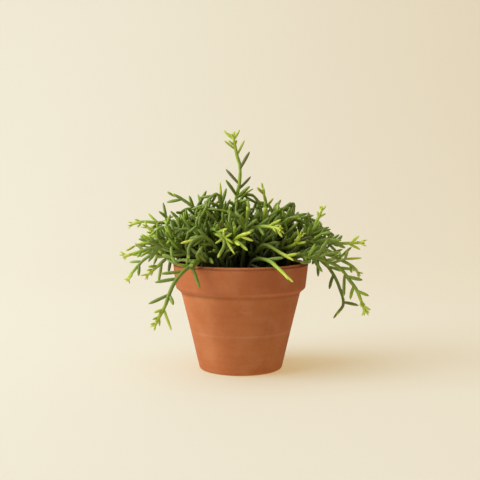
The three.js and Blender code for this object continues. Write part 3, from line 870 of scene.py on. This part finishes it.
def lay_tips(stem):
    for number, (x, y, z, *back) in enumerate(stem.tips):
        for nudge in NUDGES:
            tip = np.array([x, y + stem.shift + nudge, z], float)
            distance = stem.foot_distance(tip, *back)
            grown = grow_segment(stem, stem.place_at(distance)[0], tip, SEGMENT_RADIUS, distance)
            if grown:
                grown.laid = number
                stem.pairs_to = min(stem.pairs_to, distance - 4)
                break


for name, laid in LAID_STEMS.items():
    lay_stem(name, *laid)
for stem in stems:
    lay_tips(stem)
print("laid side segments:", sum(len(stem.segments) for stem in stems))


# %% Growing the ruled stems, under the dome's roof
MOST_TRIES = 400


def is_under_dome(point):
    x, y, z = point
    inside = 1 - (x / DOME[0]) ** 2 - (y / DOME[1]) ** 2
    return z < COLLAR_Z + DOME[2] * math.sqrt(max(DOME_EDGE, inside))


def is_in_light(tip):
    """Under the dome's roof, and not low inside the mouth."""
    return is_under_dome(tip) and (tip[2] > BARE_Z or math.hypot(tip[0], tip[1]) > MOUTH_RADIUS)


def arch_points(root, heading, reach, end, rise):
    root_out = math.hypot(*root)
    root_turn = math.atan2(root[1], root[0])
    swing = math.atan2(math.sin(heading - root_turn), math.cos(heading - root_turn))
    points = []
    for share in (0, 0.14, 0.32, 0.55, 0.78, 1):
        turn = root_turn + swing * math.sin(share * math.pi / 2)
        out = root_out + (reach - root_out) * share
        z = COLLAR_Z + (end - COLLAR_Z) * share + 4 * rise * share * (1 - share)
        points.append((out * math.cos(turn), out * math.sin(turn), z))
    return points


def ruled_stem(name, place, sector, *ranges):
    first, last = sector
    for _ in range(MOST_TRIES):
        heading = math.radians(first + (last - first) * place + between(-12, 12))
        root_turn = heading + between(-0.7, 0.7)
        root_out = between(6, 40)
        root = (root_out * math.cos(root_turn), root_out * math.sin(root_turn))
        points = arch_points(root, heading, *[between(*limits) for limits in ranges])
        roots = [stem.points[0] for stem in stems]
        if all(math.dist(points[0][:2], other[:2]) > ROOT_SPACING for other in roots):
            if all(is_under_dome(point) for point in points) and grow_stem(name, points):
                return


for kind, (count, *rule) in RULED_STEMS.items():
    for i in range(count):
        ruled_stem(f"{kind}_{i + 1:02d}", (i + 0.5) / count, *rule)
print("stems:", len(stems))


# %% Growing pairs of side segments, and the young tips
def grow_by_rule(stem, distance, turn):
    foot, along = stem.place_at(distance)
    length = SEGMENT_LENGTH * between(0.75, 1.1)
    lean = LEAN * between(0.85, 1.25)
    bears = next(numbers) < 0.25
    for attempt in range(4):
        direction = leaning(along, lean, turn + 0.45 * attempt)
        tip = foot + direction * length
        if not is_in_light(tip) or not grow_segment(stem, foot, tip, SEGMENT_RADIUS, distance):
            continue
        start = foot + (tip - foot) * 0.85
        end = start + leaning(direction, LEAN, turn + 1) * 0.75 * SEGMENT_LENGTH
        if bears and is_in_light(end):
            grow_segment(stem, start, end, SEGMENT_RADIUS, distance + 6)
        return


for stem in stems:
    turn = between(0, 2 * math.pi)
    distance = NODE_PITCH
    while distance < stem.pairs_to:
        grow_by_rule(stem, distance, turn)
        grow_by_rule(stem, distance, turn + math.pi)
        turn += math.pi / 2 + between(-0.3, 0.3)
        distance += NODE_PITCH
for stem in stems:
    point, along = stem.place_at(stem.length - YOUNG_OVERLAP)
    tip = point + along * (YOUNG_OVERLAP + YOUNG_LENGTH)
    stem.young_tip = grow_segment(stem, point, tip, YOUNG_RADIUS, stem.length)
print("side segments by the rule:", sum(len(stem.segments) for stem in stems))

# %% How well the grown stems fit their solids
worst = 0
for stem in stems:
    ends = [item for segment in stem.segments for item in (segment.foot, segment.tip)]
    grown = np.vstack([stem.route, *ends])
    low, high = (np.array(corner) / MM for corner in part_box(stem.name))
    out = max(np.abs(grown.max(0) - high).max(), np.abs(grown.min(0)[:2] - low[:2]).max())
    worst = max(worst, out)
print("largest difference between a stem and its solid's box, mm:", round(worst, 2))

# %% [markdown]
# ## More side segments
# The construction model carries the segments that matter for its size and weight. The living
# plant is far denser: side segments stand every few millimetres, and many bear one or two more.
# They grow here by a second run of numbers, only where they are clear of other stems, inside the
# dome that the plant makes, and out of the dark hollow behind the front of the rim. Nothing grows
# over the few stems that stand out at the front, since those had reached the light first.

# %% How young each stem's end is, in millimetres
for stem in stems:
    drawn = 2 + 3 * next(numbers)
    stem.young = drawn if stem.young is None else stem.young
print("young ends are up to", max(stem.young for stem in stems), "mm long")

# %% Finer numbers, and where more may grow
finer = seeded(19)
ABOUT_A_TURN = 6.28
FINE_OVERLAP = 0.3
FINE_TRIES = 4
BORNE_LENGTH = 10.5


def finely(low, high):
    return low + (high - low) * next(finer)


IN_FRONT = 5
BACK_Y = 10
BACK_LOW_Z = 81
FRONT_LOW_Z = 86
RIM_ROOM = 3
RIM_CLEAR_Z = 90.5
FINE_SPREAD = (98, 86)
outermost = np.vstack([
    np.vstack([stem.route[len(stem.route) // 3:], *[segment.tip for segment in stem.segments]])
    for stem in stems if "front" in stem.marks
])
print("places that stay uncovered:", len(outermost))


def covers_front(tip):
    """Whether a place lies over one of the stems that stand out at the front."""
    aside = np.hypot(outermost[:, 0] - tip[0], outermost[:, 2] - tip[2])
    return bool(np.any((aside < IN_FRONT) & (outermost[:, 1] > tip[1])))


def has_light(tip):
    """Whether the fine growth may reach a place. At the back it also closes the low gaps."""
    x, y, z = tip
    if y < BACK_Y:
        lit = is_in_light(tip) and z > FRONT_LOW_Z + 0.1 * abs(x)
    else:
        inside_rim = math.hypot(x, y) < MOUTH_RADIUS - RIM_ROOM
        lit = is_under_dome(tip) and (z > RIM_CLEAR_Z or z > BACK_LOW_Z and inside_rim)
    spread = math.hypot(x / FINE_SPREAD[0], y / FINE_SPREAD[1])
    return lit and spread < 1 and not covers_front(tip)


# %% Side segments between the pairs, and segments on segments
def grow_more(stem, foot, along, distance, turn, longest):
    """One more side segment, turned a little further each time it has no room."""
    length = longest * finely(0.72, 1.12)
    lean = LEAN * finely(0.7, 1.35)
    for attempt in range(FINE_TRIES):
        way = unit(leaning(along, lean, turn + 0.6 * attempt) + np.array([0, 0, 0.25]))
        tip = foot + way * length
        if has_light(tip):
            grown = grow_segment(stem, foot, tip, SEGMENT_RADIUS * 0.9, distance, -FINE_OVERLAP)
            if grown:
                return grown
    return None


def grow_between(stem, pitch, distance, last):
    turn = finely(0, ABOUT_A_TURN)
    while distance < last:
        foot, along = stem.place_at(distance)
        for side in (0, math.pi):
            if stem.length - distance > stem.young or next(finer) < 0.3:
                grow_more(stem, foot, along, distance, turn + side, SEGMENT_LENGTH)
        turn += 2.4
        distance += pitch * finely(0.85, 1.15)


def bear_more(stem, chance, segments):
    grown = []
    for segment in segments:
        along = unit(segment.tip - segment.foot)
        for _ in range(2):
            if next(finer) < chance:
                foot = segment.tip - along * 0.8
                turn = finely(0, ABOUT_A_TURN)
                grown.append(grow_more(stem, foot, along, segment.distance + 9, turn, BORNE_LENGTH))
    return [segment for segment in grown if segment]


for stem in stems:
    ruled = [segment for segment in stem.segments if segment.laid is None]
    old = [segment for segment in ruled if segment is not stem.young_tip]
    if "front" in stem.marks:
        grow_between(stem, 11, 7, stem.length - 16)
        continue
    grow_between(stem, 6.5, 7, stem.length - 5)
    if stem.points[0][1] > 0:
        grow_between(stem, 4.5, 4, min(34, stem.length - 5))
    stem.second = bear_more(stem, 0.42, old + stem.segments[len(old):][-60:])
for stem in stems:
    bear_more(stem, 0.3, stem.second)
print("side segments in all:", sum(len(stem.segments) for stem in stems))

# %% [markdown]
# ## Age
# A stem is dark green where it is old and lime where it has just grown. Each stem says how many
# millimetres of it are young, and each segment takes its age from where it leaves the stem. Some
# segments of this plant turn olive-brown in strong light. Some stems end in a star of tiny ones.
# Deep inside the dome the skin gets little light, so it is painted darker as shade, and stems low in
# the mouth, in the dark hollow near the soil, are painted nearly black as shade. Both depend only on
# the place, so they are masks in the finish.

# %% Which stems end in a star
for stem in stems:
    stem.starred = "star" in stem.marks or (stem.name.startswith("outer") and next(finer) < 0.4)
print("stems that end in a star:", sum(stem.starred for stem in stems))


# %% The age of a segment
CROWN_BROWN_TIPS = (0, 1, 2)


def youth_at(stem, distance):
    """0 where a stem is old and 1 at its young end."""
    from_end = stem.length - distance
    return min(1, max(0, 1 - from_end / max(stem.young, 1)))


for stem in stems:
    for segment in stem.segments:
        most = 0.85 * min(1, stem.young / 14)
        segment.youth = most * youth_at(stem, segment.distance) + 0.25 * next(finer) ** 3
        segment.brown = finely(0.5, 1.0) if next(finer) < 0.05 else 0.0
        if segment.laid in stem.lime:
            segment.youth = 0.85
        if segment.laid is not None:
            is_brown = stem.name == "crown_stem" and segment.laid in CROWN_BROWN_TIPS
            segment.brown = 0.9 if is_brown else 0.0
        segment.bend = finely(-0.4, 0.4)
print("brown segments:", sum(segment.brown > 0 for stem in stems for segment in stem.segments))

# %% [markdown]
# ## Modelling one segment
# Every side segment is the same slim spindle, so it is modelled once: a circle extruded up ring by
# ring, narrow at its foot, fullest past the middle, and drawn to a blunt tip. Thousands of them
# are set into place by a matrix each, so the model has only a few dozen faces.

# %% A segment of length 1 and radius 1
SEGMENT_SIDES = 7
SEGMENT_RINGS = [
    (0.0, 0.55), (0.09, 0.78), (0.3, 0.98), (0.6, 1.04), (0.8, 0.88), (0.93, 0.56), (1.0, 0.2),
]


def segment_model(bend):
    bm = bmesh.new()
    radius, middle = SEGMENT_RINGS[0][1], Vector((0, 0, 0))
    bmesh.ops.create_circle(bm, segments=SEGMENT_SIDES, radius=radius)
    foot = edges = bm.edges[:]
    for share, wider in SEGMENT_RINGS[1:]:
        verts, edges = rings_of(bmesh.ops.extrude_edge_only(bm, edges=edges)["geom"])
        size = wider / radius
        bmesh.ops.scale(bm, vec=(size, size, 1), space=Matrix.Translation(-middle), verts=verts)
        step = Vector((bend * 4 * share * (1 - share), 0, share)) - middle
        bmesh.ops.translate(bm, vec=step, verts=verts)
        radius, middle = wider, middle + step
    bmesh.ops.edgeloop_fill(bm, edges=foot)
    bmesh.ops.edgeloop_fill(bm, edges=edges)
    bmesh.ops.recalc_face_normals(bm, faces=bm.faces)
    mesh = bpy.data.meshes.new("segment")
    bm.to_mesh(mesh)
    bm.free()
    return mesh


BENDS = (-0.25, 0.0, 0.25, 0.6)
segment_models = {bend: segment_model(bend) for bend in BENDS}
segment_shares = [vert.co.z for vert in segment_models[0.0].vertices]
print("faces of a segment:", len(segment_models[0.0].polygons))


# %% [markdown]
# ## Growing the skin of a stem
# The stem itself is a ring that is extruded along its curve, turned a little at each step to face
# the way the curve goes. It is drawn in slightly at its joints, where one year's growth met the
# next. Age, tint and brownness are written on every vertex, and the finish reads them.


# %% One stem's mesh
STEM_SIDES = 8


class Skin:
    """A bmesh in metres whose vertices know how young and how brown they are, and their tint."""

    def __init__(self):
        self.bm = bmesh.new()
        floats = self.bm.verts.layers.float
        self.youth, self.brown, self.tint = map(floats.new, ("youth", "brown", "tint"))

    def mark(self, verts, youths, brown, tint):
        for vert, youth in zip(verts, youths):
            vert[self.youth] = youth
            vert[self.brown] = brown
            vert[self.tint] = tint

    def sweep(self, centres, radii, youths, tint):
        """A closed tube along the centres, in millimetres."""
        centres = [Vector(centre) * MM for centre in centres]
        ways = [(after - before).normalized() for before, after in zip(centres[:-1], centres[1:])]
        ways.append(ways[-1])
        lie = ways[0].to_track_quat("Z", "X").to_matrix().to_4x4()
        place = Matrix.Translation(centres[0]) @ lie
        ring = {"segments": STEM_SIDES, "radius": radii[0] * MM, "matrix": place}
        verts = bmesh.ops.create_circle(self.bm, **ring)["verts"]
        self.mark(verts, [youths[0]] * STEM_SIDES, 0, tint)
        edges = list(dict.fromkeys(edge for vert in verts for edge in vert.link_edges))
        bmesh.ops.edgeloop_fill(self.bm, edges=edges)
        for i in range(1, len(centres)):
            verts, edges = rings_of(bmesh.ops.extrude_edge_only(self.bm, edges=edges)["geom"])
            turn = ways[i - 1].rotation_difference(ways[i]).to_matrix().to_4x4()
            size = Matrix.Scale(radii[i] / radii[i - 1], 4)
            to, back = Matrix.Translation(centres[i]), Matrix.Translation(-centres[i - 1])
            bmesh.ops.transform(self.bm, matrix=to @ turn @ size @ back, verts=verts)
            self.mark(verts, [youths[i]] * STEM_SIDES, 0, tint)
        bmesh.ops.edgeloop_fill(self.bm, edges=edges)

    def set_segment(self, foot, tip, radius, bend, youths, brown, tint):
        """One modelled segment, laid from foot to tip."""
        start = len(self.bm.verts)
        model = segment_models[min(BENDS, key=lambda known: abs(known - bend))]
        self.bm.from_mesh(model)
        self.bm.verts.ensure_lookup_table()
        verts = self.bm.verts[start:]
        foot, tip = Vector(foot) * MM, Vector(tip) * MM
        lie = (tip - foot).to_track_quat("Z", "X").to_matrix().to_4x4()
        size = Matrix.Diagonal((radius * MM, radius * MM, (tip - foot).length, 1))
        place = Matrix.Translation(foot) @ lie @ Matrix.Rotation(ABOUT_A_TURN * tint, 4, "Z") @ size
        bmesh.ops.transform(self.bm, matrix=place, verts=verts)
        low, high = youths
        self.mark(verts, [low + (high - low) * share for share in segment_shares], brown, tint)


# %% The green finish
HEART_Z = 0.08
HEART_HALF = (0.09, 0.06, 0.058)

wax = {"Roughness": 0.42, "Specular IOR Level": 0.45, "Coat Roughness": 0.3}
green = Finish("waxy green skin", wax)
youth = green.attribute("youth")
brown = green.attribute("brown")
tint = green.attribute("tint")
mottled = green.noise(420, detail=4)
streaks = green.noise(160, detail=2)
age = (youth + (mottled - 0.5) * 0.3 + (tint - 0.5) * 0.18).clamped()
leaf = green.ramp(age, [
    (0.0, screen(113, 134, 45)), (0.25, screen(132, 158, 49)), (0.5, screen(158, 184, 53)),
    (0.8, screen(184, 204, 60)), (1.0, screen(208, 220, 88)),
])
olive = green.blend(leaf, screen(96, 84, 40), brown * (0.55 + 0.5 * streaks))
out = green.length(green.stretched(1, 1, 0))
# painted shade: stems low inside the mouth, in the dark hollow over the soil, are painted nearly
# black
hollow_shade = (1 - green.height().above(0.093, 0.02)) * (1 - out.above(0.047, 0.006))
heart = {
    "Vector": green.place,
    "Location": (0, 0, -HEART_Z / HEART_HALF[2]),
    "Scale": tuple(1 / half for half in HEART_HALF),
}
outward = green.node("ShaderNodeMapping", inputs=heart)
# painted shade: skin deep inside the dome, where little light reaches, is painted darker
depth_shade = 1 - green.length(outward).above(0.7, 0.3)
shaded = green.blend(olive, screen(52, 66, 22), depth_shade * 0.65)
hollow_shaded = green.blend(shaded, screen(20, 19, 10), hollow_shade * 0.9)
areoles = green.node("ShaderNodeTexVoronoi", inputs={"Vector": green.place, "Scale": 330.0})
dots = 1 - areoles.above(0.13, 0.08)
green.surface(
    Base_Color=green.blend(hollow_shaded, screen(190, 190, 130), dots * 0.4),
    Roughness=0.38 + 0.25 * mottled,
    Normal=green.bump(mottled * 0.6 + streaks * 0.4 + dots * 0.4, 0.00022),
)
green.surface(Coat_Weight=0.15)
print("green finish nodes:", len(green.tree.nodes))


# %% Stars of tiny segments at the young ends
BEND_STAR = {"lime_stem_front": 17}  # one more star, where the stem bends, so far before its end


def add_rays(skin, middle, along, turn, count, leans, lengths, radius):
    for i in range(count):
        way = leaning(along, math.radians(finely(*leans)), turn + i * ABOUT_A_TURN / count)
        tip = middle + way * finely(*lengths)
        skin.set_segment(middle, tip, radius, 0.6, (0.75, 1.0), 0, next(finer))


def add_star(skin, stem):
    end, along = stem.place_at(stem.length - 1)
    turn = finely(0, ABOUT_A_TURN)
    add_rays(skin, end, along, turn, 4 + (next(finer) < 0.5), (18, 50), (4, 7), 0.65)
    behind, along = stem.place_at(stem.length - finely(6, 8))
    for side in (0, math.pi):
        tip = behind + leaning(along, math.radians(38), turn + side) * finely(5, 7)
        skin.set_segment(behind, tip, 0.85, 0.6, (0.65, 0.95), 0, next(finer))


# %% Every stem
JOINT_PITCH = 27
LINK_LENGTH = 13


def stem_radius(stem, distance):
    """Thicker at the root, thinner at the end and drawn in at the joints."""
    slim = 1.65 - 0.35 * (distance / stem.length) ** 2
    joint = abs((distance / JOINT_PITCH + stem.number * 0.37) % 1 - 0.5) * JOINT_PITCH
    return slim * (1 - 0.2 * math.exp(-((joint / 1.6) ** 2)))


def kinks(stem, places):
    """How far a stem strays from its smooth curve, turning a little at each of its links."""
    links = np.arange(0, stem.length + LINK_LENGTH, LINK_LENGTH)
    strays = np.array([[finely(-0.8, 0.8) for _ in range(3)] for _ in links])
    strays[0] = 0
    return np.stack([np.interp(places, links, strays[:, i]) for i in range(3)], 1)


def add_stem(skin, stem):
    count = int(stem.length / 2.6)
    places = np.linspace(0, stem.length, count + 1)
    route = list(stem.curve.spaced(count) + kinks(stem, places))
    radii = [stem_radius(stem, place) for place in places]
    least = 0.5 if stem.name == "crown_stem" else 0.12
    youths = [max(least, youth_at(stem, place)) for place in places]
    x, y, z = route[0]
    root = [(x, y, z - 12.5), (x, y, z - 5)]
    way = unit(route[-1] - route[-2])
    end = [route[-1] + way * 0.9, route[-1] + way * 1.4]
    skin.sweep(root + route + end, [1.5, 1.6, *radii, radii[-1] * 0.75, radii[-1] * 0.3],
               [0.0, 0.0, *youths, youths[-1], youths[-1]], next(finer))


faces = 0
for stem in stems:
    skin = Skin()
    add_stem(skin, stem)
    for segment in stem.segments:
        youths = (segment.youth * 0.85, min(1, segment.youth + 0.16))
        slimmer = 0.36 if stem.name == "crown_stem" else 0.2
        radius = segment.radius * (1.01 - slimmer * segment.youth) * finely(0.92, 1.08)
        drawn = 4 if stem.starred and segment is stem.young_tip else segment.length + 0.6
        tip = segment.foot + unit(segment.tip - segment.foot) * drawn
        looks = (segment.bend, youths, segment.brown, next(finer))
        skin.set_segment(segment.foot, tip, radius, *looks)
    if stem.starred:
        add_star(skin, stem)
    if stem.name in BEND_STAR:
        middle = stem.place_at(stem.length - BEND_STAR[stem.name])[0]
        add_rays(skin, middle, np.array([0.0, -1, 0]), 0.5, 6, (55, 85), (7, 9), 0.95)
    piece = finished(stem.name + "_grown", skin.bm, green)
    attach(piece, "root")
    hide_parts(stem.name)
    "young_skin" if "fresh" in stem.marks else "green_skin"
    faces += len(piece.data.polygons)
print("faces of all stems:", faces)

# %% The models of a segment have done their work
for model in segment_models.values():
    bpy.data.meshes.remove(model)
print("meshes kept:", len(bpy.data.meshes))

# %% The two boxes, for comparison
visual_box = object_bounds()
boxes = {"cad": cad_box, "visual": visual_box}
boxes = {name: [[float(value) for value in corner] for corner in box] for name, box in boxes.items()}
growth = [round((v - c) / MM, 1) for cs, vs in zip(cad_box, visual_box) for c, v in zip(cs, vs)]
print("visual box beyond the construction model's, mm:", growth)
